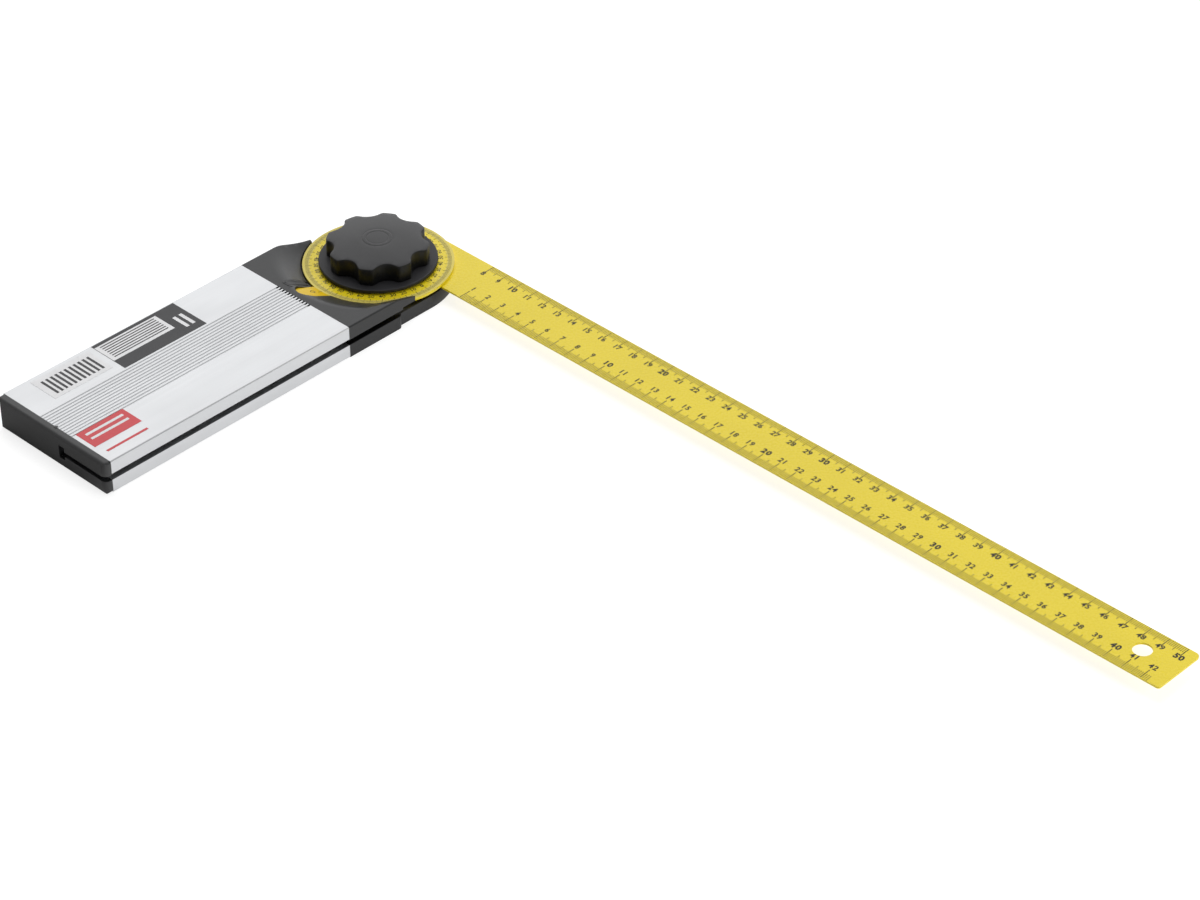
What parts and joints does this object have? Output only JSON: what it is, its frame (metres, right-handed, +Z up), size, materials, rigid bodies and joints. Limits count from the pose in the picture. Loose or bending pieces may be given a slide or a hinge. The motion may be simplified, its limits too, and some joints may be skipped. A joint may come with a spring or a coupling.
{
  "type": "adjustable protractor",
  "caption": "Adjustable protractor: slotted alloy stock, moulded pivot head with degree dial and lobed clamp knob, and a long folding rule blade with a hanging hole.",
  "frame": {"origin": "on the pivot axis at the flat underside, on the flat head of the pivot bolt", "axes": "+Z up along the pivot axis, +X along the blade in its rest pose, -Y along the stock"},
  "size_m": [0.5063, 0.2429, 0.0239],
  "materials": {
    "alloy": "satin anodised extrusion with fine lines along its length",
    "black_plastic": "fine grained black moulding",
    "charcoal_plastic": "fine grained charcoal moulding",
    "pointer_plastic": "smooth orange-yellow moulding",
    "yellow_lacquer": "yellow lacquer over sheet metal, satin",
    "rivet_alloy": "bare pressed metal",
    "zinc_steel": "bright zinc plating",
    "brass": "turned brass",
    "washer_plastic": "natural nylon sheet",
    "knob_plastic": "fine spark-eroded black moulding"
  },
  "bodies": {
    "stock": {"stock_profile": "alloy", "end_cap": "black_plastic", "head_lower": "charcoal_plastic", "head_upper": "charcoal_plastic", "index_pointer": "pointer_plastic", "cheek_screws": "zinc_steel", "stock_screws": "zinc_steel", "pivot_bolt": "zinc_steel", "pivot_bush": "brass", "lower_friction_washer": "washer_plastic", "clamp_flange": "black_plastic", "spring_washer": "zinc_steel"},
    "blade_arm": {"blade": "yellow_lacquer", "dial": "yellow_lacquer", "dial_rivets": "rivet_alloy", "upper_friction_washer": "washer_plastic"},
    "thrust": {"thrust_washer": "zinc_steel"},
    "hand_knob": {"knob": "knob_plastic", "knob_insert": "brass", "knob_disc": "knob_plastic"}
  },
  "joints": [
    {"name": "blade_swing", "type": "hinge", "parent": "stock", "child": "blade_arm", "pos_m": [0, 0, 0.0077], "axis": [0, 0, 1], "range_deg": [-90, 90]},
    {"name": "knob_lift", "type": "slide", "parent": "stock", "child": "thrust", "axis": [0, 0, 1], "range_m": [0, 0.00125]},
    {"name": "knob_turn", "type": "hinge", "parent": "thrust", "child": "hand_knob", "pos_m": [0, 0, 0.016], "axis": [0, 0, 1], "range_deg": [0, 360.5]}
  ],
  "couplings": [
    {"joint": "knob_turn", "follows": "knob_lift", "rad_per_m": 5026.5}
  ]
}
